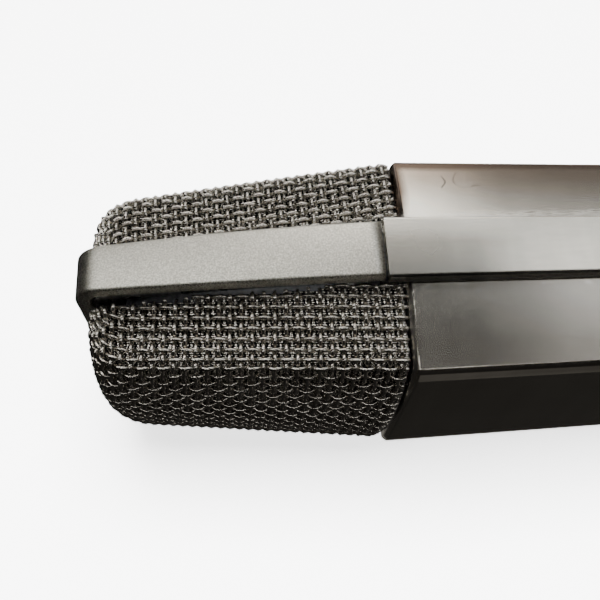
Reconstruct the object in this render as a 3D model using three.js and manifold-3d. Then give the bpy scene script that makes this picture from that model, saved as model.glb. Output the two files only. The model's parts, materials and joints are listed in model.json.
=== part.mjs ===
// Side-address ribbon microphone lying on its side: a woven head with the ribbon motor inside, and a
// faceted, slightly tapered body with the transformer, circuit board, switches and output connector.
//
// Sizes are in millimetres. Inside the microphone, X runs along the axis from the nose (-X) to the
// connector (+X) with 0 at the front edge of the body shells, Y runs across the width through the two side
// rails, and +Z points out of the front face. The whole is then rolled onto one rail and the edge of a rear
// facet, which is how it lies at rest, and set down with the middle of its underside at the origin.

import * as THREE from "three";
import { mergeVertices } from "three/addons/utils/BufferGeometryUtils.js";
import Module from "manifold-3d";

const wasm = await Module();
wasm.setup();

// Driving dimensions.
const HALF_WIDTH = 22.5;          // axis to the outer face of a side rail, at the head end
const HALF_DEPTH = 17.5;          // axis to the front face, at the head end
const SHELL_HALF_WIDTH = 20.1;    // axis to the shell under the rail
const TAPER = 0.00137;            // share of the body section lost for each millimetre towards the connector
const RAIL_HALF = 4.7;            // half the height of a side rail
const FACET_EDGE = [17.85, 17.1]; // outer edge of each slanted facet, across and deep
const FACE_EDGE = 15.3;           // half width of the flat front face
const SHELL_LENGTH = 84;
const BODY_LENGTH = 93;
const NOSE = 46.7;                // front edge of the shells to the outside of the nose
const RAIL_LEAD = 2.8;            // the rails start this far ahead of the shells
const SEAM = 0.4;                 // open seam between the band and a rail
const WALL = 0.92;                // inside of the shells as a share of the outside
const GAP = 0.3;                  // running gap between touching pieces
const RAIL_CHAMFER = 0.3;
const SHELL_FRONT = { length: 0.8, inset: 0.7 };  // the softened front edge of the shells
const PARTING = 0.15;             // half the open joint between the two shells

const NOSE_RADIUS = 4.5;          // corner radius of the band at the nose
const BAND_THICK = 2.3;
const HOOP_HALF = 3.2;            // half height of the inner hoop
const BASKET_NOSE = 45.6;         // front edge of the shells to the outside of the mesh at the nose
const BASKET_CROWN = [6, 0.8];    // the mesh face bulges by this much inside this half width
const BASKET_CORNER = 5.2;        // how the mesh rounds off at the nose, seen from the front
const BASKET_TURN = 10.5;         // and seen from the side
const BASKET_THICK = 0.9;
const SCREEN_THICK = 0.4;

const MOTOR = { x0: -40, x1: -8, halfWidth: 11.5, halfDepth: 4, wall: 2.3, endBar: 3.5 };
const RIBBON = { halfWidth: 2.3, thick: 0.12, wave: 0.26, pitch: 1.3 };
const CLAMP_SCREW_Y = 4.2;

const LEAD_Y = 7.2;               // ribbon leads pass the bulkhead here
const LEAD_Z = 6.4;

const BAR = { inner: 12.5, outer: 15.5, half: 2, x0: 2.4, x1: 69 };
const BOARD = { x0: 30, x1: 64, half: 14.4, z0: 2.3, z1: 3.5 };
const SWITCH = { x: 37, travel: 2, top: 12.6 };
const PIN_RADIUS = 1.2;
const PIN_CIRCLE = 4.05;
const SOCKET = { x0: 74, outer: 9.6, inner: 8.9, insert: 77.5 };
const TIE_Y = 12.9;
const RAIL_SCREW_X = 74;
const RAIL_SCREW = { bore: 1.3, sink: 2.3, depth: 1.1, shank: 1, head: 2, tip: 15.9 };
const RETAINING_X = 88.5;

// Colours.
const METAL = { color: 0xb9b6aa, roughness: 0.34, metalness: 1 };
const BAND_METAL = { color: 0xa9a79c, roughness: 0.48, metalness: 0.9 };
const WIRE = { color: 0x6a675f, roughness: 0.4, metalness: 1 };
const FINE_WIRE = { color: 0x4a4842, roughness: 0.45, metalness: 1 };
const STEEL = { color: 0x8c8e90, roughness: 0.35, metalness: 1 };
const IRON = { color: 0x55585c, roughness: 0.5, metalness: 0.9 };
const MAGNET = { color: 0xc7c9cc, roughness: 0.22, metalness: 1 };
const ALUMINIUM = { color: 0xd8dadc, roughness: 0.3, metalness: 1 };
const BRASS = { color: 0xb99547, roughness: 0.35, metalness: 1 };
const GOLD = { color: 0xd0a84a, roughness: 0.25, metalness: 1 };
const INSULATOR = { color: 0x2a2a2c, roughness: 0.6, metalness: 0 };
const RUBBER = { color: 0x1a1a1a, roughness: 0.9, metalness: 0 };
const BOARD_GREEN = { color: 0x1f5a35, roughness: 0.5, metalness: 0 };
const COPPER = { color: 0xa8593a, roughness: 0.5, metalness: 0.3 };
const FILM = { color: 0xa8332b, roughness: 0.45, metalness: 0 };

const microphone = new THREE.Group();

// Solids: geometry to manifold and back.

function solid(geometry) {
  const bare = geometry.index ? geometry.clone() : geometry;
  bare.deleteAttribute("normal");
  bare.deleteAttribute("uv");
  const merged = mergeVertices(bare, 1e-4);
  const mesh = new wasm.Mesh({
    numProp: 3,
    vertProperties: new Float32Array(merged.attributes.position.array),
    triVerts: new Uint32Array(merged.index.array),
  });
  return new wasm.Manifold(mesh);
}

function geometryOf(shape) {
  const mesh = shape.getMesh();
  const geometry = new THREE.BufferGeometry();
  geometry.setAttribute("position", new THREE.BufferAttribute(new Float32Array(mesh.vertProperties), 3));
  geometry.setIndex(new THREE.BufferAttribute(new Uint32Array(mesh.triVerts), 1));
  geometry.computeVertexNormals();
  return geometry;
}

function addPiece(name, shape, look) {
  const mesh = new THREE.Mesh(geometryOf(shape), new THREE.MeshStandardMaterial(look));
  mesh.name = name;
  microphone.add(mesh);
}

const join = (first, ...others) => others.reduce((sum, next) => sum.add(next), first);
const cut = (first, ...others) => others.reduce((rest, next) => rest.subtract(next), first);

function block([x0, x1], [y0, y1], [z0, z1]) {
  const box = new THREE.BoxGeometry(x1 - x0, y1 - y0, z1 - z0);
  box.translate((x0 + x1) / 2, (y0 + y1) / 2, (z0 + z1) / 2);
  return solid(box);
}

// A round bar between two positions along one axis, centred at a and b on the other two, in X, Y, Z order.
function rod(axis, radius, from, to, a, b, sides = 24) {
  const geometry = new THREE.CylinderGeometry(radius, radius, to - from, sides);
  const middle = (from + to) / 2;
  if (axis === "x") {
    geometry.rotateZ(-Math.PI / 2);
    geometry.translate(middle, a, b);
  } else if (axis === "y") {
    geometry.translate(a, middle, b);
  } else {
    geometry.rotateX(Math.PI / 2);
    geometry.translate(a, b, middle);
  }
  return solid(geometry);
}

// A flat outline of [x, y] points in the XY plane, extruded between two depths.
function plate(points, z0, z1) {
  const shape = new THREE.Shape(points.map(([x, y]) => new THREE.Vector2(x, y)));
  const geometry = new THREE.ExtrudeGeometry(shape, { depth: z1 - z0, bevelEnabled: false });
  geometry.translate(0, 0, z0);
  return solid(geometry);
}

// A closed skin over rings of equal length, each {x, points: [[y, z], ...]}, in order of rising x.
function loft(rings) {
  const count = rings[0].points.length;
  const positions = rings.flatMap(({ x, points }) => points.flatMap(([y, z]) => [x, y, z]));
  for (const { x, points } of [rings[0], rings.at(-1)]) {
    const middle = [0, 1].map((k) => points.reduce((sum, point) => sum + point[k], 0) / count);
    positions.push(x, ...middle);
  }
  const firstCentre = rings.length * count;
  const index = [];
  for (let j = 0; j < count; j += 1) {
    const next = (j + 1) % count;
    for (let i = 0; i + 1 < rings.length; i += 1) {
      const here = i * count;
      const there = here + count;
      index.push(here + j, there + j, here + next, here + next, there + j, there + next);
    }
    const last = (rings.length - 1) * count;
    index.push(firstCentre, j, next, firstCentre + 1, last + next, last + j);
  }
  const geometry = new THREE.BufferGeometry();
  geometry.setAttribute("position", new THREE.BufferAttribute(new Float32Array(positions), 3));
  geometry.setIndex(index);
  let shape = solid(geometry);
  if (shape.volume() < 0) {
    geometry.setIndex(index.map((_, k) => index[k - (k % 3) + 2 - (k % 3)]));
    shape = solid(geometry);
  }
  return shape;
}

// Cross-sections.

const taper = (x) => 1 - TAPER * x;

function mirrorQuarter(quarter) {
  const upper = [...quarter, ...quarter.toReversed().map(([y, z]) => [-y, z])];
  return [...upper, ...upper.toReversed().map(([y, z]) => [y, -z])];
}

// The faceted body outline, corner by corner, starting at the rail and going round through the front face.
const BODY_QUARTER = [[SHELL_HALF_WIDTH, RAIL_HALF], FACET_EDGE, [FACE_EDGE, HALF_DEPTH]];

function bodySection(scale, inset = 0) {
  const across = scale * (1 - inset / SHELL_HALF_WIDTH);
  const deep = scale * (1 - inset / HALF_DEPTH);
  return mirrorQuarter(BODY_QUARTER.map(([y, z]) => [y * across, z * deep]));
}

// Cuts every corner of a closed outline once.
function soften(points, share = 0.22) {
  return points.flatMap(([y, z], i) => {
    const [ny, nz] = points[(i + 1) % points.length];
    return [
      [y + (ny - y) * share, z + (nz - z) * share],
      [ny + (y - ny) * share, nz + (z - nz) * share],
    ];
  });
}

// The head, measured back from the shells by u. Half sizes of the woven basket and the band.

const roundOff = (u, start, end) => {
  if (u <= start) return 1;
  const t = Math.min((u - start) / (end - start), 0.999);
  return Math.sqrt(1 - t * t);
};
const basketHalfWidth = (u) => 19.6 - 0.08 * u - 0.0006 * u * u;
const basketHalfDepth = (u) => 17.4 - 0.068 * u;
const bandHalfWidth = (u) => 22.35 - 0.03 * u - 0.0013 * u * u;
const bandHalfHeight = (u) => 4.28 - 0.0004 * u * u;

function basketSection(wide, deep) {
  const across = wide / SHELL_HALF_WIDTH;
  const down = deep / HALF_DEPTH;
  const quarter = [...BODY_QUARTER, [BASKET_CROWN[0], HALF_DEPTH + BASKET_CROWN[1]]];
  return mirrorQuarter(quarter.map(([y, z]) => [y * across, z * down]));
}

function basketSolid(inset) {
  const end = BASKET_NOSE - inset;
  const stations = [end, end - 0.35, end - 1.2, end - 2.8, end - 5, end - 8, 34, 26, 17, 8, -0.5];
  const rings = stations.map((u) => {
    const side = basketHalfWidth(u) - inset;
    const wide = side - BASKET_CORNER + BASKET_CORNER * roundOff(u, end - BASKET_CORNER, end);
    const deep = (basketHalfDepth(u) - inset) * (0.35 + 0.65 * roundOff(u, end - BASKET_TURN, end));
    return { x: -u, points: soften(basketSection(wide, deep)) };
  });
  return loft(rings);
}

// Half of the bow round the nose, seen from the front: along the side, then round the corner.
function bow(inset, start) {
  const turn = NOSE - NOSE_RADIUS;
  const radius = NOSE_RADIUS - inset;
  const side = [];
  for (let k = 0; k <= 8; k += 1) {
    const u = start + ((turn - start) * k) / 8;
    side.push([-u, bandHalfWidth(u) - inset]);
  }
  const centre = bandHalfWidth(turn) - NOSE_RADIUS;
  for (let k = 1; k <= 6; k += 1) {
    const angle = (k / 6) * (Math.PI / 2);
    side.push([-turn - radius * Math.sin(angle), centre + radius * Math.cos(angle)]);
  }
  return [...side, ...side.toReversed().map(([x, y]) => [x, -y])];
}

function hoopShape(outerInset, innerInset, start, halfHeight) {
  const outer = bow(outerInset, start);
  const inner = bow(innerInset, start);
  return plate([...outer, ...inner.toReversed()], -halfHeight, halfHeight);
}

// Head.

function makeBand() {
  const start = RAIL_LEAD + SEAM;
  const strip = hoopShape(0, BAND_THICK, start, bandHalfHeight(0));
  const side = [start, 14, 24, 34, NOSE + 1];
  const outline = side.map((u) => [-u, bandHalfHeight(u)]);
  const height = plate([...outline, ...outline.toReversed().map(([x, y]) => [x, -y])], -30, 30);
  return strip.intersect(height.rotate([90, 0, 0]));
}

function makeShellPair(outer, inner, gap, names, look) {
  const shell = cut(outer, inner);
  const front = shell.intersect(block([-60, -GAP], [-30, 30], [gap, 30]));
  const rear = shell.intersect(block([-60, -GAP], [-30, 30], [-30, -gap]));
  addPiece(names[0], front, look);
  addPiece(names[1], rear, look);
}

function makeHeadBase() {
  const points = soften(basketSection(basketHalfWidth(0) - 2.2, basketHalfDepth(0) - 2.2));
  let base = loft([-3.2, -1.2].map((x) => ({ x, points })));
  for (const y of [-6, 6]) {
    base = join(base, rod("x", 0.8, -7.9, -2.5, y, 0, 16));
  }
  for (const y of [-LEAD_Y, LEAD_Y]) {
    base = cut(base, rod("x", 0.9, -4, 0, y, LEAD_Z, 16));
  }
  return base;
}

function addHead() {
  addPiece("head_band", makeBand(), BAND_METAL);
  addPiece("head_hoop", hoopShape(BAND_THICK + GAP, BAND_THICK + 1.9, 1, HOOP_HALF), STEEL);
  const fineOuter = BASKET_THICK + GAP;
  makeShellPair(basketSolid(0), basketSolid(BASKET_THICK), HOOP_HALF + GAP,
    ["front_basket", "rear_basket"], WIRE);
  makeShellPair(basketSolid(fineOuter), basketSolid(fineOuter + SCREEN_THICK), HOOP_HALF + 2 * GAP,
    ["front_fine_screen", "rear_fine_screen"], FINE_WIRE);
  addPiece("head_base", makeHeadBase(), STEEL);
}

// Ribbon motor.

function makeYoke() {
  const { x0, x1, halfWidth, halfDepth, wall, endBar } = MOTOR;
  const inside = halfWidth - wall;
  const window = block([x0 + endBar, x1 - endBar], [-inside, inside], [-9, 9]);
  const step = block([x0 - 1, x1 + 1], [-inside, inside], [-2.2, 9]);
  let yoke = cut(block([x0, x1], [-halfWidth, halfWidth], [-halfDepth, halfDepth]), window, step);
  for (const y of [-halfWidth + wall / 2, halfWidth - wall / 2]) {
    yoke = cut(yoke, rod("x", 0.8, x1 - 4, x1 + 1, y, 0, 12));
  }
  return yoke;
}

function makeRibbon() {
  const { halfWidth, thick, wave, pitch } = RIBBON;
  const [x0, x1] = [MOTOR.x0 + 0.8, MOTOR.x1 - 0.8];
  const [free0, free1] = [MOTOR.x0 + 4.5, MOTOR.x1 - 4.5];
  const folds = Math.round((free1 - free0) / pitch);
  const line = [[x0, 0], [free0, 0]];
  for (let k = 0; k < folds; k += 1) {
    const x = free0 + ((free1 - free0) * (k + 0.5)) / folds;
    line.push([x, k % 2 ? wave : -wave]);
  }
  line.push([free1, 0], [x1, 0]);
  const upper = line.map(([x, z]) => [x, z + thick / 2]);
  const lower = line.map(([x, z]) => [x, z - thick / 2]);
  return plate([...lower, ...upper.toReversed()], -halfWidth, halfWidth).rotate([90, 0, 0]);
}

function addClamp(end, x0, x1) {
  const ys = [-CLAMP_SCREW_Y, CLAMP_SCREW_Y];
  const middle = (x0 + x1) / 2;
  let base = block([x0, x1], [-6.5, 6.5], [-1.9, -0.36]);
  let bar = block([x0 + 0.3, x1 - 0.3], [-6, 6], [0.36, 1.9]);
  ys.forEach((y, k) => {
    const hole = rod("z", 0.95, -3, 3, middle, y, 12);
    base = cut(base, hole);
    bar = cut(bar, hole);
    const screw = join(rod("z", 0.65, -1.7, 2.5, middle, y, 12), rod("z", 1.25, 2.2, 3.1, middle, y, 16));
    const slot = block([middle - 2, middle + 2], [y - 0.18, y + 0.18], [2.75, 4]);
    addPiece(`${end}_clamp_screw_${k + 1}`, cut(screw, slot), BRASS);
  });
  addPiece(`${end}_clamp_block`, base, INSULATOR);
  addPiece(`${end}_clamp_bar`, bar, BRASS);
}

function addMagnets() {
  const span = [MOTOR.x0 + 4.3, MOTOR.x1 - 4.3];
  for (const [name, side] of [["left", -1], ["right", 1]]) {
    const order = (a, b) => (side > 0 ? [a, b] : [-b, -a]);
    addPiece(`${name}_magnet`, block(span, order(5.6, 8.9), [-3.7, 3.7]), MAGNET);
    const tip = [[5.3, -3.7], [5.3, 3.7], [4.4, 3.7], [2.65, 1.3], [2.65, -1.3], [4.4, -3.7]];
    const profile = tip.map(([y, z]) => [y * side, z]);
    const rings = span.map((x) => ({ x, points: profile }));
    addPiece(`${name}_pole_piece`, loft(rings), IRON);
  }
}

function makeBlastPlate(side) {
  const z = side > 0 ? [4.3, 4.8] : [-4.8, -4.3];
  let sheet = block([MOTOR.x0 + 5, MOTOR.x1 - 5], [-9, 9], z);
  for (let k = 0; k < 6; k += 1) {
    const x = MOTOR.x0 + 7.4 + k * 3.2;
    sheet = cut(sheet, block([x, x + 1.3], [-7, 7], [-9, 9]));
  }
  return sheet;
}

function makeMotorBracket() {
  let bracket = block([MOTOR.x1 + GAP, -6.3], [-11.5, 11.5], [-4.5, 4.5]);
  for (const y of [-6, 6]) bracket = cut(bracket, rod("x", 1.1, -9, -5, y, 0, 16));
  for (const y of [-10.35, 10.35]) bracket = cut(bracket, rod("x", 0.9, -9, -5, y, 0, 12));
  return bracket;
}

// A lead is a round wire through the given points.
function makeLead(points, radius = 0.4) {
  const path = new THREE.CatmullRomCurve3(points.map((p) => new THREE.Vector3(...p)));
  const section = new THREE.Shape();
  section.absarc(0, 0, radius, 0, Math.PI * 2);
  const options = { steps: points.length * 4, extrudePath: path, curveSegments: 8, bevelEnabled: false };
  return solid(new THREE.ExtrudeGeometry(section, options));
}

function addMotor() {
  addPiece("motor_yoke", makeYoke(), IRON);
  addMagnets();
  addPiece("ribbon_element", makeRibbon(), ALUMINIUM);
  addClamp("nose", MOTOR.x0 + 0.3, MOTOR.x0 + 4);
  addClamp("base", MOTOR.x1 - 4, MOTOR.x1 - 0.3);
  addPiece("front_blast_plate", makeBlastPlate(1), STEEL);
  addPiece("rear_blast_plate", makeBlastPlate(-1), STEEL);
  addPiece("motor_bracket", makeMotorBracket(), STEEL);
  [-10.35, 10.35].forEach((y, k) => {
    const screw = join(rod("x", 0.6, MOTOR.x1 - 3.5, -5.7, y, 0, 12), rod("x", 1.2, -6, -5.1, y, 0, 16));
    addPiece(`bracket_screw_${k + 1}`, screw, STEEL);
  });
  [-6, 6].forEach((y, k) => {
    const mount = cut(rod("x", 2.3, -6, -3.5, y, 0), rod("x", 1.1, -7, -3, y, 0, 16));
    addPiece(`rubber_mount_${k + 1}`, mount, RUBBER);
  });
  [-1, 1].forEach((side, k) => {
    const route = [[-9.8, side * 7, 1.2], [-9.2, side * 7.6, 3.6], [-7.6, side * 7.4, 5.9],
      [-5.2, side * LEAD_Y, LEAD_Z], [-1, side * LEAD_Y, LEAD_Z], [2.9, side * LEAD_Y, LEAD_Z]];
    addPiece(`ribbon_lead_${k + 1}`, makeLead(route), COPPER);
  });
}

// Body.

function shellSolid(inset) {
  const rings = [[0, inset + SHELL_FRONT.inset], [SHELL_FRONT.length, inset], [SHELL_LENGTH, inset]];
  return loft(rings.map(([x, by]) => ({ x, points: bodySection(taper(x), by) })));
}

function shellCavity() {
  const rings = [-1, SHELL_LENGTH + 1].map((x) => ({ x, points: bodySection(taper(x) * WALL) }));
  return loft(rings);
}

function switchSlot(side) {
  const z = side > 0 ? [10, 20] : [-20, -10];
  const half = SWITCH.travel + 1.4;
  return block([SWITCH.x - half, SWITCH.x + half], [-1.6, 1.6], z);
}

function addShells() {
  const hollow = cut(shellSolid(0), shellCavity());
  const holes = [-1, 1].map((side) =>
    rod("y", RAIL_SCREW.bore, side > 0 ? 10 : -30, side > 0 ? 30 : -10, RAIL_SCREW_X, 0));
  const whole = cut(hollow, ...holes);
  const front = cut(whole.intersect(block([-1, 99], [-30, 30], [PARTING, 30])), switchSlot(1));
  const rear = cut(whole.intersect(block([-1, 99], [-30, 30], [-30, -PARTING])), switchSlot(-1));
  addPiece("front_shell", front, METAL);
  addPiece("rear_shell", rear, METAL);
}

function addRail(name, side) {
  const section = (x) => {
    const inner = SHELL_HALF_WIDTH * taper(x) + GAP;
    const outer = HALF_WIDTH * taper(x);
    const half = RAIL_HALF * taper(x);
    return [[inner, -half], [outer - RAIL_CHAMFER, -half], [outer, -half + RAIL_CHAMFER],
      [outer, half - RAIL_CHAMFER], [outer - RAIL_CHAMFER, half], [inner, half]].map(([y, z]) => [y * side, z]);
  };
  const rings = [-RAIL_LEAD, BODY_LENGTH].map((x) => ({ x, points: section(x) }));
  const y = side > 0 ? [10, 30] : [-30, -10];
  const seat = HALF_WIDTH * taper(RAIL_SCREW_X) - RAIL_SCREW.depth;
  const bore = rod("y", RAIL_SCREW.bore, y[0], y[1], RAIL_SCREW_X, 0);
  const sink = rod("y", RAIL_SCREW.sink, side > 0 ? seat : -30, side > 0 ? 30 : -seat, RAIL_SCREW_X, 0);
  addPiece(`${name}_rail`, cut(loft(rings), bore, sink), METAL);
  const head = seat + GAP;
  const steps = [[RAIL_SCREW.shank, RAIL_SCREW.tip, head + 0.2], [RAIL_SCREW.head, head, head + 0.7]];
  const parts = steps.map(([r, a, b]) =>
    rod("y", r, side > 0 ? a : -b, side > 0 ? b : -a, RAIL_SCREW_X, 0, 20));
  addPiece(`${name}_rail_screw`, join(...parts), STEEL);
}

function makeChassis() {
  const inset = WALL * taper(3) * 0.975;
  const bulkhead = loft([0.6, 2.6].map((x) => ({ x, points: bodySection(inset) })));
  let frame = bulkhead;
  for (const side of [-1, 1]) {
    const y = side > 0 ? [BAR.inner, BAR.outer] : [-BAR.outer, -BAR.inner];
    frame = join(frame, block([BAR.x0, RAIL_SCREW_X + 3], y, [-BAR.half, BAR.half]));
  }
  frame = join(frame, block([66, BAR.x1], [-BAR.outer, BAR.outer], [-BAR.half, BAR.half]));
  for (const side of [-1, 1]) {
    frame = cut(frame, rod("x", 0.9, 0, 3, side * LEAD_Y, LEAD_Z, 16));
    frame = cut(frame, rod("x", 1.25, 60, 99, side * TIE_Y, 0, 16));
    frame = cut(frame, rod("y", 1.3, side > 0 ? 15.2 : -20, side > 0 ? 20 : -15.2, RAIL_SCREW_X, 0, 16));
  }
  return frame;
}

function addTransformer() {
  const core = cut(block([6, 26], [-9.5, 9.5], [-6, 6]),
    block([9.5, 22.5], [2.8, 7], [-9, 9]), block([9.5, 22.5], [-7, -2.8], [-9, 9]));
  addPiece("transformer_core", core, IRON);
  const coil = cut(block([9.8, 22.2], [-6.7, 6.7], [-9.3, 9.3]), block([9, 23], [-3.1, 3.1], [-6.3, 6.3]));
  addPiece("transformer_coil", coil, COPPER);
  const strap = join(block([23, 25.6], [-10.9, 10.9], [-7.4, 7.4]), block([23, 25.6], [-15.2, 15.2], [2.3, 3.3]));
  addPiece("transformer_strap", cut(strap, block([22, 27], [-9.8, 9.8], [-6.3, 6.3])), STEEL);
}

function addBoard() {
  const { x0, x1, half, z0, z1 } = BOARD;
  const screws = [[x0 + 3, -TIE_Y], [x1 - 3, TIE_Y]];
  let board = block([x0, x1], [-half, half], [z0, z1]);
  screws.forEach(([x, y], k) => {
    board = cut(board, rod("z", 1.3, 0, 9, x, y, 16));
    const screw = join(rod("z", 1, 2.2, 4, x, y, 16), rod("z", 2, z1 + GAP, z1 + 1.5, x, y, 20));
    addPiece(`board_screw_${k + 1}`, screw, STEEL);
  });
  addPiece("circuit_board", board, BOARD_GREEN);
  addPiece("film_capacitor", block([47, 54.5], [-9, -5], [z1 + GAP, 10.5]), FILM);
  addPiece("electrolytic_capacitor", rod("z", 3.2, z1 + GAP, 11.5, 50, 5.5, 28), INSULATOR);
}

function addSwitch(name, side) {
  const order = (a, b) => (side > 0 ? [a, b] : [-b, -a]);
  const x = SWITCH.x;
  const face = HALF_DEPTH * taper(x);
  const foot = side > 0 ? BOARD.z1 + GAP : -(BOARD.z0 - GAP);
  addPiece(`${name}_switch_body`, block([x - 5, x + 5], [-3.2, 3.2], order(foot, SWITCH.top)), INSULATOR);
  const wing = face * WALL - 0.5;
  const slider = join(
    block([x - 3.4, x + 3.4], [-2.6, 2.6], order(wing - 0.9, wing)),
    block([x - 1.1, x + 1.1], [-1.3, 1.3], order(SWITCH.top + GAP, face + 0.6)));
  addPiece(`${name}_slider`, slider, INSULATOR);
}

function addConnector() {
  const section = (x) => ({ x, points: bodySection(taper(x)) });
  let cap = loft([section(SHELL_LENGTH + GAP), section(BODY_LENGTH)]);
  cap = cut(cap, rod("x", SOCKET.outer + GAP, 80, 99, 0, 0, 48), rod("z", 1.6, -30, -5, RETAINING_X, 0, 20));
  const tub = cut(rod("x", SOCKET.outer, SOCKET.x0, BODY_LENGTH - 0.2, 0, 0, 48),
    rod("x", SOCKET.inner, SOCKET.x0 - 1, 99, 0, 0, 48));
  let insert = rod("x", SOCKET.inner - GAP, SOCKET.x0 + 0.3, SOCKET.insert, 0, 0, 40);
  [0, Math.PI, Math.PI * 1.5].forEach((angle, k) => {
    const [y, z] = [PIN_CIRCLE * Math.cos(angle), PIN_CIRCLE * Math.sin(angle)];
    insert = cut(insert, rod("x", PIN_RADIUS + GAP, 70, 80, y, z, 20));
    const tip = new THREE.SphereGeometry(PIN_RADIUS, 20, 12);
    tip.translate(90, y, z);
    addPiece(`contact_pin_${k + 1}`, join(rod("x", PIN_RADIUS, 71, 90, y, z, 20), solid(tip)), GOLD);
  });
  [-1, 1].forEach((side, k) => {
    const y = side * TIE_Y;
    cap = cut(cap, rod("x", 1.25, 80, 99, y, 0, 16), rod("x", 2.3, 90.7, 99, y, 0, 20));
    const head = cut(rod("x", 2, 91, 92.6, y, 0, 20), rod("x", 0.9, 91.8, 93, y, 0, 6));
    addPiece(`tie_screw_${k + 1}`, join(rod("x", 0.95, 67, 91.4, y, 0, 16), head), STEEL);
  });
  addPiece("bottom_cap", cap, METAL);
  addPiece("connector_shell", tub, STEEL);
  addPiece("connector_insert", insert, INSULATOR);
  addPiece("retaining_screw", rod("z", 1.3, -14, -10.2, RETAINING_X, 0, 20), STEEL);
}

function addBody() {
  addShells();
  addRail("left", -1);
  addRail("right", 1);
  addPiece("chassis_frame", makeChassis(), ALUMINIUM);
  const strip = block([3.2, 4.4], [-9.5, 9.5], [4.6, 8.4]);
  addPiece("terminal_board", strip, BOARD_GREEN);
  addTransformer();
  addBoard();
  addSwitch("low_cut", 1);
  addSwitch("pad", -1);
  addConnector();
}

addHead();
addMotor();
addBody();

// Roll onto the far rail and the facet edge beside it, then tip so that the tapered body lies flat.
const [facetY, facetZ] = FACET_EDGE;
const roll = -Math.atan2(facetZ - RAIL_HALF, HALF_WIDTH - facetY);
const rest = HALF_WIDTH * Math.sin(-roll) + RAIL_HALF * Math.cos(roll);
const tilt = Math.atan(rest * TAPER);

const rolled = new THREE.Group();
microphone.rotation.x = roll;
rolled.rotation.y = tilt;
rolled.add(microphone);

const model = new THREE.Group();
model.add(rolled);
model.updateMatrixWorld(true);
const bounds = new THREE.Box3().setFromObject(model, true);
const middle = bounds.getCenter(new THREE.Vector3());
rolled.position.set(-middle.x, -middle.y, -bounds.min.z);

export default model;
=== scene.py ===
# Looks for the ribbon microphone: woven head, band, faceted body and everything inside, around the CAD
# frame. Pieces are drawn in the microphone's own frame, in millimetres, and then set into the row frame
# in metres: X runs along the axis from the nose to the connector with 0 at the front edge of the body
# shells, Y runs across the width through the two side rails, and +Z points out of the front face.

import json
import math
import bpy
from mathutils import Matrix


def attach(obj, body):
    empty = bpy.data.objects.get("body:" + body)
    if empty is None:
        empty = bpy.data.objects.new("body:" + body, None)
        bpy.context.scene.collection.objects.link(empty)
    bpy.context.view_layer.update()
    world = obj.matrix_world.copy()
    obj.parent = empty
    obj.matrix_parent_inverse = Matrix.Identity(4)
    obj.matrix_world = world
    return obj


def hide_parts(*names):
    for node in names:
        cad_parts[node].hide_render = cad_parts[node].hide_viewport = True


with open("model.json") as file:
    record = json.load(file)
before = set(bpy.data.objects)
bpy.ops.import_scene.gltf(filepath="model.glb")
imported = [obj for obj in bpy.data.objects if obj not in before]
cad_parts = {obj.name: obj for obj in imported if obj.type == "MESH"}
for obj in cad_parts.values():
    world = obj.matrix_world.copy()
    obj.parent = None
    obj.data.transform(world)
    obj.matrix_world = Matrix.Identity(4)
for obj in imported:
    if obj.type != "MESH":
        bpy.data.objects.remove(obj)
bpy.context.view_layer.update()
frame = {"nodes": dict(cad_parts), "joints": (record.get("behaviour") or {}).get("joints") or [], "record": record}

from types import SimpleNamespace

import bmesh
import bpy
import numpy as np
from mathutils import Matrix, Vector

BODY = "microphone"
METRES = 0.001               # per millimetre
MM_PER_METRE = 1000
FRONT, REAR = 1, -1

# The body and the band, in millimetres. At u mm ahead of the shells, a curve (a, b, c) is worth
# a + b u + c u².
BODY_LENGTH = 93.0
SHELL_HALF_WIDTH = 20.1
CAP_MOUNT_HEIGHT = 12.5      # of the cap's mount point over the axis, toward the front
NOSE = 46.7
NOSE_RADIUS = 4.5
RAIL_LEAD = 2.8
SEAM = 0.4
BAND_HALF_WIDTH = (22.35, -0.03, -0.0013)
BAND_HALF_HEIGHT = (4.28, 0.0, -0.0004)
BAND_THICK = 2.3
BAND_EDGE = 0.45

# The sheet of each basket: a crowned face, a rounded turn and a side that runs down beside the band.
BASKET_NOSE = 46.0
BASKET_WIDTH = 18.85         # half width of the outline before it is scaled along the head
HEAD_HALF_WIDTH = (19.6, -0.08, -0.0006)
HEAD_CROWN = (19.05, -0.078, 0.0)
NOSE_TURN = 7.2              # reach of the curve from the face to the nose
NOSE_BOW = 1.1               # how far the sides of the nose fall back from its middle
NOSE_BOW_POWER = 6
CORNER = 2.8
RIM = 3.75
FACE_HALF = 13               # half width of the crowned face
CROWN_AT = 12                # distance from the middle at which a crown is measured
FACE_TURN = 2.4              # reach of the curve from the face to the side
SIDE_TOP = (BASKET_WIDTH, 13.4)
SIDE_FOOT = (BASKET_WIDTH + 0.2, 17)
PROFILE_FOOT = (BASKET_NOSE + 0.1, 16)

# Crown and corner of each half. Seen along the band, the front half is a little fuller than the rear one.
OUTLINE = {FRONT: (0.8, (17.6, 1.5)), REAR: (1.3, (17.3, 2.6))}

# The weave: rows run along the head, columns across it. ROWS gives row numbers, their distances from the
# middle of the sheet and a shift of them all, so that the weave opens over the edge of the face.
WIRE_RADIUS = 0.33
WIRE_SIDES = 6
LAST_ROW = 17
ROWS = {
    FRONT: ([0, 7, 8, 9, 18], [0, 12.7, 14.6, 16.6, 29.4], 0.5),
    REAR: ([0, 7, 8, 9, 17], [0, 12.7, 14.8, 17.0, 29.4], 0.5),
}
ROW_CRIMP = 0.28
COLUMN_CRIMP = 0.38
COLUMN_PITCH = 1.57
COLUMN_START = 1.36
COLUMN_SKEW = 0.035          # the columns lean by this slope
SKEW_ORIGIN = -22
STEPS = 6                    # points between two crossings
CREST = (1.06, 0.06)         # first and third harmonic of a crimped wire

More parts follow.
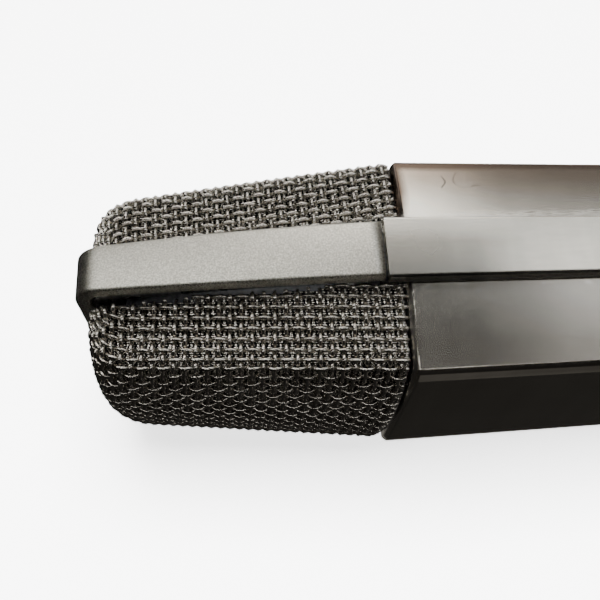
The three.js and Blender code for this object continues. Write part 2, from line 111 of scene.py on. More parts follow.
# The fine gauze under the weave.
GAUZE_START = 0.45
GAUZE_STEP = 0.4
GAUZE_HALF = 29.6
GAUZE_DEPTH = 1.15
GAUZE_PITCH = (0.78, 0.41)   # along the head and across it
GAUZE_WIRE = 0.34            # half a wire's width, in pitches

# Rounding of the CAD pieces, in millimetres and radians.
MERGE = 1e-3
FLAT = math.radians(0.5)     # faces that meet at less than this are one face
CURVED = (0.02, 0.45)        # faces that meet at an angle in this range belong to a curve
CURVE_FACE = 30              # largest area of such a face
SHARP = 0.5                  # edges that turn by more than this are rounded
RIDGE_TURN = (1.0, 1.4)      # the body's long outer corners turn by this
RIDGE_LENGTH = 20
RIDGE = 0.6

RIB_PITCH = 0.55             # of the switch sliders


# The microphone's own frame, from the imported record.

def record_mount(name):
    return next(m for m in frame["record"]["mounts"] if m["name"] == name)


def microphone_frame():
    along = Vector(frame["joints"][0]["axis"]).normalized()
    cap = record_mount("connector_end")
    rail = Vector(record_mount("upper_rail")["axis"])
    across = -(rail - along * rail.dot(along)).normalized()
    front = along.cross(across)
    place = Matrix((along, across, front)).transposed().to_4x4()
    back, down = along * (BODY_LENGTH * METRES), front * (CAP_MOUNT_HEIGHT * METRES)
    place.translation = Vector(cap["pos_m"]) - back - down
    return place


MIC = microphone_frame()
MIC_MM = MIC @ Matrix.Scale(METRES, 4)


def add_piece(name, mesh, material, node, body=BODY):
    """Turns a mesh in millimetres into a piece that rides on a body and takes the place of a CAD node."""
    mesh.transform(MIC_MM)
    mesh.materials.append(material)
    obj = bpy.data.objects.new(name, mesh)
    bpy.context.scene.collection.objects.link(obj)
    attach(obj, body)
    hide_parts(node)


def mesh_from(points, faces):
    """A smooth-shaded mesh."""
    mesh = bpy.data.meshes.new("piece")
    mesh.from_pydata([tuple(p) for p in points], [], [tuple(f) for f in faces])
    mesh.validate()
    mesh.update()
    mesh.polygons.foreach_set("use_smooth", [True] * len(mesh.polygons))
    return mesh


def curve(terms, u):
    a, b, c = terms
    return a + b * u + c * u * u


def unit_rows(vectors):
    return vectors / np.linalg.norm(vectors, axis=1, keepdims=True)


# The woven head.

def rounded_path(points, reaches, steps=10):
    """A polyline with its inner corners turned into curves that start and end by reach from the corner."""
    out = [np.array(points[0], float)]
    for before, at, after, reach in zip(points, points[1:], points[2:], reaches):
        before, at, after = (np.array(p, float) for p in (before, at, after))
        start = at + (before - at) / np.linalg.norm(before - at) * reach
        end = at + (after - at) / np.linalg.norm(after - at) * reach
        for t in np.linspace(0, 1, steps + 1):
            out.append((1 - t) ** 2 * start + 2 * t * (1 - t) * at + t ** 2 * end)
    out.append(np.array(points[-1], float))
    return np.array(out)


def arc_table(path):
    """Arc length along a path, and the path's two coordinates."""
    lengths = np.concatenate([[0], np.cumsum(np.linalg.norm(np.diff(path, axis=0), axis=1))])
    return lengths, path[:, 0], path[:, 1]


def section_path(crown, corner):
    """Half of the head's section, as distance across and drop from the crown."""
    face = [(y, crown * (y / CROWN_AT) ** 2) for y in range(FACE_HALF + 1)]
    turn = rounded_path([face[-1], corner, SIDE_TOP], [FACE_TURN])
    return np.concatenate([face[:-1], turn, [SIDE_FOOT]])


SECTION = {half: arc_table(section_path(*OUTLINE[half])) for half in (FRONT, REAR)}
PROFILE = arc_table(rounded_path([(0, 0), (BASKET_NOSE, 0), PROFILE_FOOT], [NOSE_TURN]))
SHEET_END = PROFILE[0][-1]


def basket_surface(u, v, half):
    """Points of one half of the basket, drawn facing +Z: u runs along the sheet, v across it."""
    lengths, across, drop = SECTION[half]
    x = np.interp(u, PROFILE[0], PROFILE[1])
    nose_drop = np.interp(u, PROFILE[0], PROFILE[2])
    y = np.interp(np.abs(v), lengths, across)
    side_drop = np.interp(np.abs(v), lengths, drop)
    x = x - NOSE_BOW * (y / BASKET_WIDTH) ** 2 * np.clip(x / BASKET_NOSE, 0, 1) ** NOSE_BOW_POWER
    ex = np.clip((x - (BASKET_NOSE - NOSE_BOW - CORNER)) / CORNER, 0, 1)
    ey = np.clip((y - (BASKET_WIDTH - CORNER)) / CORNER, 0, 1)
    x = np.where(ex > 0, x - CORNER * ex * (1 - np.sqrt(1 - ey ** 2 / 2)), x)
    y = np.where(ey > 0, y - CORNER * ey * (1 - np.sqrt(1 - ex ** 2 / 2)), y)
    width = curve(HEAD_HALF_WIDTH, x) / BASKET_WIDTH
    height = curve(HEAD_CROWN, x) - nose_drop - side_drop
    return np.stack([-x, np.sign(v) * y * width, height], -1)


def basket_points(u, v, half, lift):
    """Points lifted off the surface along its normal by lift, and the normals."""
    step = 0.02
    p = basket_surface(u, v, half)
    du = basket_surface(u + step, v, half) - basket_surface(u - step, v, half)
    dv = basket_surface(u, v + step, half) - basket_surface(u, v - step, half)
    normal = np.cross(du, dv)
    normal /= np.linalg.norm(normal, axis=-1, keepdims=True) + 1e-9
    normal *= np.where(normal[..., 2:3] < 0, -1, 1)
    return p + normal * np.asarray(lift)[..., None], normal


def row_position(row, half):
    """Distance across the sheet of a lengthwise wire."""
    at, arc, shift = ROWS[half]
    return math.copysign(np.interp(abs(row), at, arc), row) + shift


class Tubes:
    """Collects round wires into one mesh."""

    def __init__(self, sides):
        self.sides = sides
        self.points = []
        self.faces = []
        self.count = 0

    def add(self, line, normal, radius):
        tangent = unit_rows(np.gradient(line, axis=0))
        side = unit_rows(np.cross(tangent, normal))
        up = np.cross(side, tangent)
        angle = np.arange(self.sides) * 2 * math.pi / self.sides
        ring = (line[:, None] + radius * (np.cos(angle)[:, None] * up[:, None]
                                          + np.sin(angle)[:, None] * side[:, None]))
        n, k = len(line), self.sides
        base = self.count
        self.points.append(ring.reshape(-1, 3))
        i = np.arange(n - 1)[:, None] * k
        j = np.arange(k)[None]
        nxt = (j + 1) % k
        quads = np.stack([i + j, i + k + j, i + k + nxt, i + nxt], -1).reshape(-1, 4) + base
        self.faces.extend(quads.tolist())
        self.faces.append([base + a for a in range(k)])
        self.faces.append([base + (n - 1) * k + a for a in reversed(range(k))])
        self.count += n * k

    def mesh(self):
        return mesh_from(np.concatenate(self.points), self.faces)


def runs(mask):
    """Start and end of each stretch of True values."""
    edges = np.flatnonzero(np.diff(np.concatenate([[0], mask.astype(int), [0]])))
    return zip(edges[::2], edges[1::2])


def crest(phase):
    """Height of a crimped wire, from -1 to 1 twice a turn: broad crests with straighter runs between."""
    return CREST[0] * np.cos(phase) - CREST[1] * np.cos(3 * phase)


def skewed(u, v):
    return u + COLUMN_SKEW * (v - SKEW_ORIGIN)


def woven_half(half, metal, name, node):
    """One half of the coarse weave: every wire passes over and under the wires it crosses."""
    tubes = Tubes(WIRE_SIDES)

    def add(u, v, lift):
        line, normal = basket_points(u, v, half, lift)
        for a, b in runs(line[:, 2] > RIM):
            if b - a > 2:
                tubes.add(line[a:b] * (1, 1, half), normal[a:b] * (1, 1, half), WIRE_RADIUS)

    rows = range(-LAST_ROW, LAST_ROW + 1)
    crossings = np.array([row_position(row, half) for row in rows])
    between = np.arange(0, len(rows) - 1, 1 / STEPS)
    for row, v in zip(rows, crossings):
        u = np.arange(COLUMN_START - 4 * COLUMN_PITCH / STEPS, SHEET_END, COLUMN_PITCH / STEPS)
        wave = (-1) ** row * crest(math.pi * (u - COLUMN_START) / COLUMN_PITCH)
        add(skewed(u, v), np.full_like(u, v), ROW_CRIMP * wave - 2 * WIRE_RADIUS)
    for column in range(int(SHEET_END / COLUMN_PITCH)):
        v = np.interp(between, range(len(rows)), crossings)
        wave = -(-1) ** (column + rows[0]) * crest(math.pi * between)
        add(skewed(COLUMN_START + column * COLUMN_PITCH, v), v, COLUMN_CRIMP * wave - 2 * WIRE_RADIUS)
    add_piece(name, tubes.mesh(), metal, node)


def gauze_half(half, metal, name, node):
    """A thin sheet under the weave. Its UVs are millimetres along it and across it, for the fine wires."""
    u = np.arange(GAUZE_START, SHEET_END, GAUZE_STEP)
    v = np.arange(-GAUZE_HALF, GAUZE_HALF + 0.1, GAUZE_STEP)
    uu, vv = np.meshgrid(u, v, indexing="ij")
    points, _ = basket_points(uu, vv, half, np.full_like(uu, -GAUZE_DEPTH))
    inside = points[..., 2] > RIM
    keep = inside[:-1, :-1] & inside[1:, :-1] & inside[:-1, 1:] & inside[1:, 1:]
    index = np.arange(uu.size).reshape(uu.shape)
    quads = np.stack([index[:-1, :-1], index[1:, :-1], index[1:, 1:], index[:-1, 1:]], -1)[keep]
    used, faces = np.unique(quads, return_inverse=True)
    mesh = mesh_from(points.reshape(-1, 3)[used] * (1, 1, half), faces.reshape(-1, 4))
    corner = np.empty(len(mesh.loops), int)
    mesh.loops.foreach_get("vertex_index", corner)
    flat = np.stack([uu.ravel()[used][corner], vv.ravel()[used][corner]], -1)
    mesh.uv_layers.new(name="sheet").data.foreach_set("uv", flat.ravel())
    add_piece(name, mesh, metal, node)


# Band round the head.

def band_path():
    """Points of the band's outer face seen from the front, with their outward directions."""
    turn = NOSE - NOSE_RADIUS
    side = [(-u, curve(BAND_HALF_WIDTH, u)) for u in np.linspace(RAIL_LEAD + SEAM, turn, 24)]
    centre = curve(BAND_HALF_WIDTH, turn) - NOSE_RADIUS
    for angle in np.linspace(0, math.pi / 2, 13)[1:]:
        side.append((-turn - NOSE_RADIUS * math.sin(angle), centre + NOSE_RADIUS * math.cos(angle)))
    side += [(-NOSE, y) for y in np.linspace(centre, 0, 6)[1:]]
    path = np.array(side + [(x, -y) for x, y in side[-2::-1]])
    tangent = unit_rows(np.gradient(path, axis=0))
    return path, np.stack([tangent[:, 1], -tangent[:, 0]], 1)


def rounded_rectangle(inner, outer, half, radius, steps=5):
    points = []
    for cx, cz, start in ((outer - radius, half - radius, 0), (inner + radius, half - radius, 90),
                          (inner + radius, radius - half, 180), (outer - radius, radius - half, 270)):
        for t in np.linspace(0, 90, steps):
            angle = math.radians(start + t)
            points.append((cx + radius * math.cos(angle), cz + radius * math.sin(angle)))
    return points


def ring_mesh(rings):
    """A closed skin over rings of equal length, with flat ends."""
    count = len(rings[0])
    faces = []
    for i in range(len(rings) - 1):
        for j in range(count):
            k = (j + 1) % count
            faces.append((i * count + j, i * count + k, (i + 1) * count + k, (i + 1) * count + j))
    faces.append(tuple(reversed(range(count))))
    faces.append(tuple(range((len(rings) - 1) * count, len(rings) * count)))
    mesh = mesh_from([p for ring in rings for p in ring], faces)
    bm = bmesh.new()
    bm.from_mesh(mesh)
    bmesh.ops.recalc_face_normals(bm, faces=bm.faces)
    bm.to_mesh(mesh)
    bm.free()
    return mesh


def make_band(metal):
    path, outward = band_path()
    rings = []
    for (x, y), (nx, ny) in zip(path, outward):
        section = rounded_rectangle(-BAND_THICK, 0, curve(BAND_HALF_HEIGHT, -x), BAND_EDGE)
        rings.append([(x + nx * a, y + ny * a, z) for a, z in section])
    add_piece("band", ring_mesh(rings), metal, "head_band")


# CAD pieces with their edges rounded.

def turn_of(edge):
    """Angle between an edge's two faces, or 0."""
    return edge.calc_face_angle(0) if len(edge.link_faces) == 2 else 0.0


def clean_copy(node):
    """The CAD node in millimetres, with its flat faces whole again and only its curved faces smooth."""
    bm = bmesh.new()
    bm.from_mesh(frame["nodes"][node].data)
    bm.transform(MIC_MM.inverted())
    bmesh.ops.remove_doubles(bm, verts=bm.verts, dist=MERGE)
    bmesh.ops.dissolve_limit(bm, angle_limit=FLAT, verts=bm.verts, edges=bm.edges)
    for face in bm.faces:
        bends = any(CURVED[0] < turn_of(e) < CURVED[1] for e in face.edges)
        face.smooth = face.calc_area() < CURVE_FACE and bends
    return bm


def is_ridge(edge):
    return edge.calc_length() > RIDGE_LENGTH and RIDGE_TURN[0] < turn_of(edge) < RIDGE_TURN[1]


def polished(node, metal, width=0.3, segments=2, body=BODY, ridge=0.0):
    """A CAD node with its edges rounded by width, and its long outer corners by ridge."""
    bm = clean_copy(node)
    sharp = [e for e in bm.edges if turn_of(e) > SHARP]
    corners = [e for e in sharp if ridge and is_ridge(e)]
    others = [e for e in sharp if e not in corners]
    for edges, offset in ((corners, ridge), (others, width)):
        if edges:
            made = bmesh.ops.bevel(bm, geom=[e for e in edges if e.is_valid], offset=offset,
                                   segments=segments, profile=0.5, affect="EDGES", clamp_overlap=True)
            for face in made["faces"]:
                face.smooth = 2 * face.calc_area() < face.calc_perimeter() * offset
    mesh = bpy.data.meshes.new(node)
    bm.to_mesh(mesh)
    bm.free()
    add_piece(node + "_piece", mesh, metal, node, body)


# Materials.

class Nodes:
    """A material under construction; add() makes a node and wires or sets its inputs."""

    def __init__(self, name, world=False):
        self.material = (bpy.data.worlds if world else bpy.data.materials).new(name)
        self.material.use_nodes = True
        self.tree = self.material.node_tree
        self.shader = self.tree.nodes["Background" if world else "Principled BSDF"]

    def set(self, node, **inputs):
        """Sets sockets by name, with _ for a space, or by number, as in _0."""
        for key, value in inputs.items():
            socket = node.inputs[int(key[1:])] if key[0] == "_" else node.inputs[key.replace("_", " ")]
            if isinstance(value, bpy.types.NodeSocket):
                self.tree.links.new(value, socket)
            else:
                socket.default_value = value

    def add(self, kind, out=0, settings=(), **inputs):
        node = self.tree.nodes.new(kind)
        for key, value in settings:
            setattr(node, key, value)
        self.set(node, **inputs)
        return node.outputs[out]

    def split(self, vector):
        """The three components of a vector."""
        parts = self.add("ShaderNodeSeparateXYZ", Vector=vector).node
        return [parts.outputs[axis] for axis in range(3)]

    def place(self):
        return self.add("ShaderNodeTexCoord", out=3)

    def local(self, axis):
        """Distance in mm along (0), across (1) or out of the front of (2) the microphone."""
        direction = MIC.col[axis].to_3d()
        along = self.add("ShaderNodeVectorMath", out=1, settings=[("operation", "DOT_PRODUCT")],
                         _0=self.place(), _1=direction * MM_PER_METRE)
        return self.math("SUBTRACT", along, direction.dot(MIC.translation) * MM_PER_METRE)

    def stretch(self, *scale):
        return self.add("ShaderNodeMapping", Vector=self.place(), Scale=scale)

    def noise(self, scale, detail=2.0, roughness=0.5, vector=None):
        return self.add("ShaderNodeTexNoise", Vector=vector or self.place(), Scale=scale,
                        Detail=detail, Roughness=roughness)

    def remap(self, value, low, high, to_low=0.0, to_high=1.0):
        return self.add("ShaderNodeMapRange", Value=value, From_Min=low, From_Max=high,
                        To_Min=to_low, To_Max=to_high)

    def mix(self, factor, a, b):
        return self.add("ShaderNodeMix", out=2, settings=[("data_type", "RGBA")], _0=factor, _6=a, _7=b)

    def math(self, operation, *values):
        inputs = {f"_{i}": value for i, value in enumerate(values)}
        return self.add("ShaderNodeMath", settings=[("operation", operation)], **inputs)

    def product(self, first, *others):
        for other in others:
            first = self.math("MULTIPLY", first, other)
        return first

    def bump(self, height, strength, distance=0.00005):
        return self.add("ShaderNodeBump", Strength=strength, Distance=distance, Height=height)


def rgb(*values):
    return (*values, 1.0)


def grey(value):
    return rgb(value, value, value)


# The body's plating, its wear, and painted light and shade on its facets and rails. Each pair of places is where a
# fade starts and ends, in mm.
PLATE = rgb(0.61, 0.58, 0.52)
PLATE_SMUDGED = rgb(0.50, 0.475, 0.42)
PLATE_BANDED = rgb(0.40, 0.38, 0.34)
PLATE_BRUSHED = rgb(0.78, 0.76, 0.71)
# Painted light, painted warm reflection and painted shade on the facets beside the rails
FACET_PAINTED_LIGHT = rgb(0.93, 0.90, 0.83)
FACET_PAINTED_WARM_REFLECTION = rgb(0.52, 0.39, 0.30)
FACET_PAINTED_SHADE = rgb(0.17, 0.145, 0.125)
# Painted light and painted shade on the rails' two edges near the head
RAIL_PAINTED_LIGHT = rgb(0.97, 0.94, 0.86)
RAIL_PAINTED_SHADE = rgb(0.19, 0.19, 0.18)
LIP_STAIN = rgb(0.13, 0.095, 0.073)
EDGE_STAIN = rgb(0.15, 0.11, 0.085)
RUBBED = rgb(0.97, 0.95, 0.90)
SCRATCHED = rgb(0.12, 0.1, 0.085)

SMUDGE = (0.2, 0.8)                 # range of the smudge noise
WANDER = 1.1                        # how far the smudges shift the edge of a stain
UPPER_FROM = (4.0, 4.6)             # toward the front: the facets on that side of the rails
FLANK_FROM = (15.0, 15.8)           # across: the facets, not the flat faces
# Fades of the painted light, warm reflection and shade on the facets, by depth and along
PAINTED_LIGHT_FADE = (13, 5.5)              # depth, front or rear of the axis: lighter toward the rail
PAINTED_WARM_FADE = (9, 15.5)               # depth
PAINTED_SHADE_FADE = (7, 16)                 # depth
PAINTED_SHADE_ALONG = (2, 14)
# Where the rails' painted light and shade fade out along the body
RAIL_PAINT_ALONG = (18, 9)                # the rails' light and dark edges fade out behind the head
LIP_ALONG = (1.8, 0.4)
EDGE_FADE = (14.9, 15.9)            # depth
RUB_FADE = (7.4, 5.4)               # depth
CHIPS_BETWEEN = ((-4.5, -4.9), (-6.4, -6.0))
SCRATCH_AT = (10.0, 12.6)           # along, front
SCRATCH_SIZE = (3.4, 2.2)


def body_zones(n):
    """Coordinates in mm and masks of the facets, the rails and the front side."""
    along, across, front = (n.local(axis) for axis in range(3))
    wide = n.math("ABSOLUTE", across)
    side = n.remap(wide, SHELL_HALF_WIDTH + 0.3, SHELL_HALF_WIDTH - 0.2)
    upper = n.remap(front, *UPPER_FROM)
    flank = n.product(side, n.remap(wide, *FLANK_FROM))
    return SimpleNamespace(along=along, front=front, depth=n.math("ABSOLUTE", front), side=side, upper=upper,
                           flank=flank, upper_flank=n.product(flank, upper))


def plate_colour(n, smudge, brushed):
    """Smudged plating with faint bands round the body and fine brushing along it."""
    bands = n.noise(1, 1, 0.5, n.stretch(420, 20, 20))
    colour = n.mix(n.remap(smudge, *SMUDGE), PLATE, PLATE_SMUDGED)
    colour = n.mix(n.remap(bands, 0.35, 0.65, 0, 0.25), colour, PLATE_BANDED)
    return n.mix(n.remap(brushed, 0.4, 0.75, 0, 0.12), colour, PLATE_BRUSHED)


def paint_facet_light_and_shade(n, colour, zone, wander):
    """Painted light beside the rail, and a painted warm reflection and painted shade toward the flat faces."""
    # painted light: the facet is painted lighter next to the rail
    light = n.product(zone.flank, n.remap(zone.depth, *PAINTED_LIGHT_FADE, 0, 0.75))
    # painted warm reflection: a warm tint toward the outer edge of the upper facets
    painted_warm_reflection = n.product(zone.upper_flank, n.remap(n.math("ADD", zone.depth, wander), *PAINTED_WARM_FADE, 0, 0.6))
    # painted shade: darker toward the flat faces, away from the head end and more on the upper side
    painted_shade = n.product(zone.flank, n.remap(zone.depth, *PAINTED_SHADE_FADE), n.remap(zone.along, *PAINTED_SHADE_ALONG),
                     n.remap(zone.front, *UPPER_FROM, 0.3, 0.75))
    colour = n.mix(light, colour, FACET_PAINTED_LIGHT)
    colour = n.mix(painted_warm_reflection, colour, FACET_PAINTED_WARM_REFLECTION)
    return n.mix(painted_shade, colour, FACET_PAINTED_SHADE)


def paint_rail_light_and_shade(n, colour, zone):
    """Near the head each rail has painted light on its front edge and painted shade on the other."""
    rail = n.product(n.math("SUBTRACT", 1.0, zone.side), n.remap(zone.along, *RAIL_PAINT_ALONG))
    # painted light on the front edge of the rail, painted shade on its rear edge
    colour = n.mix(n.product(rail, n.remap(zone.front, 0.5, 4.7, 0, 0.85)), colour, RAIL_PAINTED_LIGHT)
    return n.mix(n.product(rail, n.remap(zone.front, 2.5, -4.7, 0, 0.8)), colour, RAIL_PAINTED_SHADE)


def stained(n, colour, zone, wander):
    """A brown lip at the head end and brown along the outer edge of the upper facets."""
    lip = n.product(n.remap(n.math("ADD", zone.along, wander), *LIP_ALONG), zone.upper, zone.side)
    edge = n.math("ADD", zone.depth, n.product(wander, 0.4))
    colour = n.mix(lip, colour, LIP_STAIN)
    return n.mix(n.product(n.remap(edge, *EDGE_FADE), zone.upper_flank), colour, EDGE_STAIN)


def rub_mask(n, zone):
    """The rubbed line beside the front edge of a rail."""
    fine = n.noise(1, 2, 0.5, n.stretch(90, 9000, 9000))
    return n.product(zone.upper_flank, n.remap(zone.depth, *RUB_FADE), n.remap(fine, 0.40, 0.6))


def chip_mask(n, zone):
    """Small bright chips beside the other edge of a rail."""
    start, end = CHIPS_BETWEEN
    strip = n.product(zone.flank, n.remap(zone.front, *start), n.remap(zone.front, *end))
    return n.product(strip, n.remap(n.noise(900, 1), 0.66, 0.7))


def scratch_mask(n, zone):
    """Broken curved scratches inside an oval on the upper facet: thin contours of a noise."""
    offsets = [n.math("DIVIDE", n.math("SUBTRACT", value, at), size)
               for value, at, size in zip((zone.along, zone.front), SCRATCH_AT, SCRATCH_SIZE)]
    oval = n.remap(n.math("ADD", *(n.product(offset, offset) for offset in offsets)), 1.0, 0.8)
    line = n.remap(n.math("ABSOLUTE", n.math("SUBTRACT", n.noise(210, 1), 0.5)), 0.014, 0.004)
    return n.product(line, oval, n.remap(n.noise(420, 1), 0.40, 0.5), 0.8)


def body_metal():
    """Satin plated metal, browner along its edges and front lip and rubbed bright beside the rails, with painted
    light and shade on its facets and rails.
    """
    n = Nodes("body_metal")
    zone = body_zones(n)
    smudge = n.noise(70, 3, 0.5)
    brushed = n.noise(1, 3, 0.6, n.stretch(260, 2600, 2600))
    wander = n.remap(smudge, *SMUDGE, -WANDER, WANDER)
    colour = plate_colour(n, smudge, brushed)
    # painted light and shade on the facets
    colour = paint_facet_light_and_shade(n, colour, zone, wander)
    # painted light and shade on the rails
    colour = paint_rail_light_and_shade(n, colour, zone)
    colour = stained(n, colour, zone, wander)
    rubbed = rub_mask(n, zone)
    colour = n.mix(n.math("MAXIMUM", rubbed, chip_mask(n, zone)), colour, RUBBED)
    colour = n.mix(scratch_mask(n, zone), colour, SCRATCHED)
    rough = n.math("ADD", n.remap(smudge, *SMUDGE, 0.19, 0.29), n.product(rubbed, 0.2))
    n.set(n.shader, Base_Color=colour, Metallic=1.0, Roughness=rough, Normal=n.bump(brushed, 0.04))
    return n.material


def band_metal():
    """Fine sparkling grain, with painted shade that darkens the band a little toward its front edge."""
    n = Nodes("band_metal")
    grain = n.noise(4200, 3, 0.7)
    cloud = n.noise(150, 3)
    colour = n.mix(n.remap(grain, 0.4, 0.68), rgb(0.46, 0.445, 0.39), rgb(1.0, 0.98, 0.90))
    colour = n.mix(n.remap(cloud, 0.4, 0.8, 0, 0.25), colour, rgb(0.52, 0.50, 0.46))
    # painted shade: the band is darker toward its front edge
    colour = n.mix(n.remap(n.local(2), -4.7, 4.7, 0, 0.45), colour, rgb(0.45, 0.43, 0.38))
    n.set(n.shader, Base_Color=colour, Metallic=1.0, Roughness=0.36, Normal=n.bump(grain, 0.6))
    return n.material


def wire_metal():
    n = Nodes("woven_wire")
    stain = n.noise(500, 2)
    colour = n.mix(n.remap(stain, 0.35, 0.7), rgb(0.66, 0.635, 0.585), rgb(0.50, 0.475, 0.43))
    n.set(n.shader, Base_Color=colour, Metallic=1.0, Roughness=0.16)
    return n.material


def gauze_wires(n, along, across, flip):
    """Height of the wires that run along, with their crests over every second wire they cross."""
    line = n.math("ROUND", across)
    off = n.math("DIVIDE", n.math("SUBTRACT", across, line), GAUZE_WIRE)
    body = n.math("MAXIMUM", n.math("SUBTRACT", 1.0, n.product(off, off)), 0.0)
    turn = n.product(n.math("ADD", n.math("ADD", along, line), flip), math.pi)
    rise = n.math("MULTIPLY_ADD", n.math("COSINE", turn), 0.4, 0.6)
    return n.product(n.math("POWER", body, 0.5), rise)


def gauze_metal():
    """A fine plain weave drawn on the gauze sheet: each wire rises over every second crossing. The gaps and the
    wires' flanks are painted near-black, as painted shade in place of open holes.
    """
    n = Nodes("fine_wire")
    sheet = n.split(n.add("ShaderNodeUVMap", settings=[("uv_map", "sheet")]))
    a, b = (n.math("DIVIDE", value, pitch) for value, pitch in zip(sheet, GAUZE_PITCH))
    height = n.math("MAXIMUM", gauze_wires(n, a, b, 0.0), gauze_wires(n, b, a, 1.0))
    # painted shade: near-black between the drawn wires and on their flanks; the wires' own colour only on their
    # tops
    colour = n.mix(n.remap(height, 0.5, 0.8), grey(0.004), rgb(0.95, 0.93, 0.88))
    n.set(n.shader, Base_Color=colour, Metallic=1.0, Roughness=0.25, Normal=n.bump(height, 1.0, 0.0001))
    return n.material


def ribbed_plastic():
    """Black plastic with fine ribs across the way it slides."""
    n = Nodes("slider_plastic")
    ribs = n.math("SINE", n.product(n.local(0), 2 * math.pi / RIB_PITCH))
    n.set(n.shader, Base_Color=rgb(0.02, 0.02, 0.021), Roughness=0.38, Normal=n.bump(ribs, 1.0, 0.00008))
    return n.material


def simple(name, colour, roughness, metallic=0.0, scale=1500, grain=0.1):
    """A plain finish with a little mottling and grain."""
    n = Nodes(name)
    fine = n.noise(scale, 3)
    darker = rgb(*(c * 0.72 for c in colour))
    shade = n.mix(n.remap(fine, 0.3, 0.75), rgb(*colour), darker)
    rough = n.remap(n.noise(scale / 6, 2), 0.3, 0.7, roughness - 0.05, roughness + 0.07)
    n.set(n.shader, Base_Color=shade, Metallic=metallic, Roughness=rough, Normal=n.bump(fine, grain))
    return n.material


# Camera, floor and lights.

CAMERA_DISTANCE = 130.0        # mm
CAMERA_LENS = 47.574           # mm, for a picture 36 mm wide
CAMERA_BELOW = 24.57           # degrees under the direction the rail faces
CAMERA_YAW = 3.20
CAMERA_ROLL = 1.95
ORIGIN_IN_VIEW = (13.90831, -1.82646)   # mm right of the camera's axis and above it

FLOOR_SIZE = 12                # metres, as is the wall
WALL = dict(radius=5.5, depth=8, location=(0, 0, 3.9))
PAPER_GLOW = 2.4

# The dark studio's own brightness, beside what the panels below give.
STUDIO_COLOUR = rgb(1, 0.95, 0.88)
GLOW_AROUND = 0.02
GLOW_BEHIND = 0.3
GLOW_END = 0.2
GLOW_FLOOR = 0.22

# Soft panels: elevation, side, height and width in degrees, radiance, colour.
PANELS = {
    "back_softbox": (113, 5, 19, 22, 4.6, (1, 0.97, 0.91)),
    "back_strip": (110, -30, 2.5, 44, 9, (1, 0.985, 0.95)),
    "overhead_strip": (87, -22, 3, 48, 12.5, (1, 0.985, 0.94)),
    "overhead_right": (94, 28, 2.5, 44, 2.6, (1, 0.99, 0.97)),
    "top_right_panel": (99, 31, 21, 22, 1.7, (0.97, 1, 1)),
    "right_panel": (70, 33, 20, 16, 0.95, (1, 1, 1)),
    "front_strip": (51, 0, 2.4, 110, 7, (1, 0.99, 0.97)),
    "rear_panel": (159, 0, 22, 70, 1.6, (1, 1, 1)),
    "end_panel": (80, 80, 34, 20, 1.2, (1, 1, 1)),
}
PANEL_DISTANCE = 0.8
FLOOR_LIGHT = (86, 0, 40, 40, 42, (1, 1, 1))
FLOOR_LIGHT_DISTANCE = 1.1
LIGHTS_AIM = Vector((0, 0, 0.02))


def make_camera():
    below, yaw, roll = (math.radians(a) for a in (CAMERA_BELOW, CAMERA_YAW, CAMERA_ROLL))
    tip = Matrix(((1, 0, 0), (0, math.cos(below), math.sin(below)), (0, -math.sin(below), math.cos(below))))
    turn = Matrix(((math.cos(yaw), 0, math.sin(yaw)), (0, 1, 0), (-math.sin(yaw), 0, math.cos(yaw))))
    lean = Matrix(((math.cos(roll), -math.sin(roll), 0), (math.sin(roll), math.cos(roll), 0), (0, 0, 1)))
    toward_viewer = Matrix(((1, 0, 0), (0, 0, 1), (0, -1, 0)))
    rotation = (lean @ turn @ tip @ toward_viewer).transposed()
    camera = bpy.data.cameras.new("camera")
    camera.sensor_width = 36
    camera.lens = CAMERA_LENS
    camera.clip_start = 0.01
    obj = bpy.data.objects.new("camera", camera)
    bpy.context.scene.collection.objects.link(obj)
    local = rotation.to_4x4()
    local.translation = -(rotation @ Vector((*ORIGIN_IN_VIEW, -CAMERA_DISTANCE))) / MM_PER_METRE
    obj.matrix_world = MIC @ local
    bpy.context.scene.camera = obj


def area_light(name, elevation, side, tall, wide, radiance, colour, distance=PANEL_DISTANCE, glossy=True):
    """A soft panel, all angles in degrees as seen from the microphone.

    Elevation is measured from the -Y horizon upward, side from straight on toward +X; tall and wide
    are the panel's spans.
    """
    a, b = math.radians(elevation), math.radians(side)
    facing = Vector((math.sin(b), -math.cos(a) * math.cos(b), math.sin(a) * math.cos(b)))
    along = (Vector((1, 0, 0)) - facing * facing.x).normalized()
    width, height = (2 * distance * math.tan(math.radians(s) / 2) for s in (wide, tall))
    light = bpy.data.lights.new(name, "AREA")
    light.shape = "RECTANGLE"
    light.size = width
    light.size_y = height
    light.energy = radiance * math.pi * width * height
    light.color = colour
    obj = bpy.data.objects.new(name, light)
    bpy.context.scene.collection.objects.link(obj)
    place = Matrix((along, facing.cross(along), facing)).transposed().to_4x4()
    place.translation = LIGHTS_AIM + facing * distance
    obj.matrix_world = place
    obj.visible_glossy = glossy
    obj.visible_camera = False


def studio_glow(n):
    """Brightness by direction: lighter behind, at the connector end and on the floor ahead."""
    x, y, z = n.split(n.add("ShaderNodeTexCoord", out=0))
    behind = n.product(n.remap(y, 0.2, 0.5, 0, GLOW_BEHIND), n.remap(x, -0.5, -0.1))
    end = n.remap(x, 0.7, 0.95, 0, GLOW_END)
    floor = n.product(n.remap(y, -0.2, -0.35), n.remap(x, 0.12, 0.2), n.remap(z, -0.7, -0.88, 0, GLOW_FLOOR))
    return n.math("ADD", n.math("MAXIMUM", n.math("MAXIMUM", behind, end), floor), GLOW_AROUND)


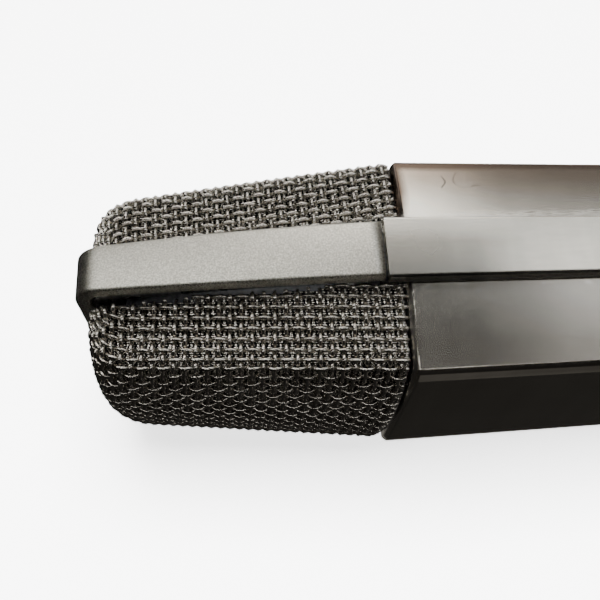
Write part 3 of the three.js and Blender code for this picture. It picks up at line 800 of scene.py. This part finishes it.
def make_stage():
    """White floor and wall, kept out of reflections, and the lights."""
    paper = Nodes("backdrop_paper")
    paper.set(paper.shader, Base_Color=grey(0.92), Roughness=0.9, Emission_Color=grey(1),
              Emission_Strength=PAPER_GLOW)
    bpy.ops.mesh.primitive_plane_add(size=FLOOR_SIZE, location=(0, 0, 0))
    floor = bpy.context.object
    bpy.ops.mesh.primitive_cylinder_add(vertices=96, end_fill_type="NOTHING", **WALL)
    wall = bpy.context.object
    for obj, name in ((floor, "floor"), (wall, "wall")):
        obj.name = name
        obj.data.materials.append(paper.material)
        obj.visible_glossy = False
        obj.visible_diffuse = False
    sky = Nodes("studio", world=True)
    sky.set(sky.shader, Color=STUDIO_COLOUR, Strength=studio_glow(sky))
    bpy.context.scene.world = sky.material
    for name, settings in PANELS.items():
        area_light(name, *settings)
    area_light("floor_light", *FLOOR_LIGHT, distance=FLOOR_LIGHT_DISTANCE, glossy=False)


make_camera()
make_stage()

FINISHES = {
    "body_metal": body_metal(),
    "band_metal": band_metal(),
    "woven_wire": wire_metal(),
    "fine_wire": gauze_metal(),
    "steel": simple("steel", (0.56, 0.56, 0.56), 0.3, 1.0),
    "iron": simple("iron", (0.2, 0.21, 0.22), 0.5, 0.9),
    "magnet": simple("magnet", (0.7, 0.71, 0.72), 0.2, 1.0),
    "ribbon_foil": simple("ribbon_foil", (0.85, 0.86, 0.87), 0.28, 1.0),
    "chassis_metal": simple("chassis_metal", (0.7, 0.71, 0.72), 0.42, 1.0),
    "brass": simple("brass", (0.66, 0.5, 0.22), 0.3, 1.0),
    "contact_metal": simple("contact_metal", (0.8, 0.6, 0.25), 0.2, 1.0),
    "insulator": simple("insulator", (0.02, 0.02, 0.021), 0.5),
    "slider_plastic": ribbed_plastic(),
    "rubber": simple("rubber", (0.03, 0.03, 0.03), 0.75),
    "board": simple("board", (0.04, 0.2, 0.09), 0.35),
    "winding": simple("winding", (0.45, 0.2, 0.1), 0.4, 0.4, 4000, 0.5),
    "capacitor_sleeve": simple("capacitor_sleeve", (0.04, 0.04, 0.06), 0.3),
    "film_plastic": simple("film_plastic", (0.45, 0.06, 0.05), 0.3),
}
SLOTS = {s["node"]: s["material_slot"] for s in frame["record"]["subparts"]}

for half, side in ((FRONT, "front"), (REAR, "rear")):
    woven_half(half, FINISHES["woven_wire"], side + "_weave", side + "_basket")
for half, side in ((FRONT, "front"), (REAR, "rear")):
    gauze_half(half, FINISHES["fine_wire"], side + "_gauze", side + "_fine_screen")
make_band(FINISHES["band_metal"])

ROUNDED = {
    "front_shell": 0.5, "rear_shell": 0.5, "left_rail": 0.3, "right_rail": 0.3, "bottom_cap": 0.4,
    "head_hoop": 0.2, "connector_shell": 0.15, "connector_insert": 0.15, "retaining_screw": 0.15,
    "left_rail_screw": 0.15, "right_rail_screw": 0.15, "tie_screw_1": 0.12, "tie_screw_2": 0.12,
}
SLIDERS = {"low_cut_slider": "low_cut_control", "pad_slider": "pad_control"}
SLIDER_ROUNDING = 0.12

for node, width in ROUNDED.items():
    polished(node, FINISHES[SLOTS[node]], width, 3, ridge=RIDGE if "shell" in node else 0.0)
for node, body in SLIDERS.items():
    polished(node, FINISHES[SLOTS[node]], SLIDER_ROUNDING, 2, body)
for name, node in frame["nodes"].items():
    node.data.materials.clear()
    node.data.materials.append(FINISHES[SLOTS[name]])
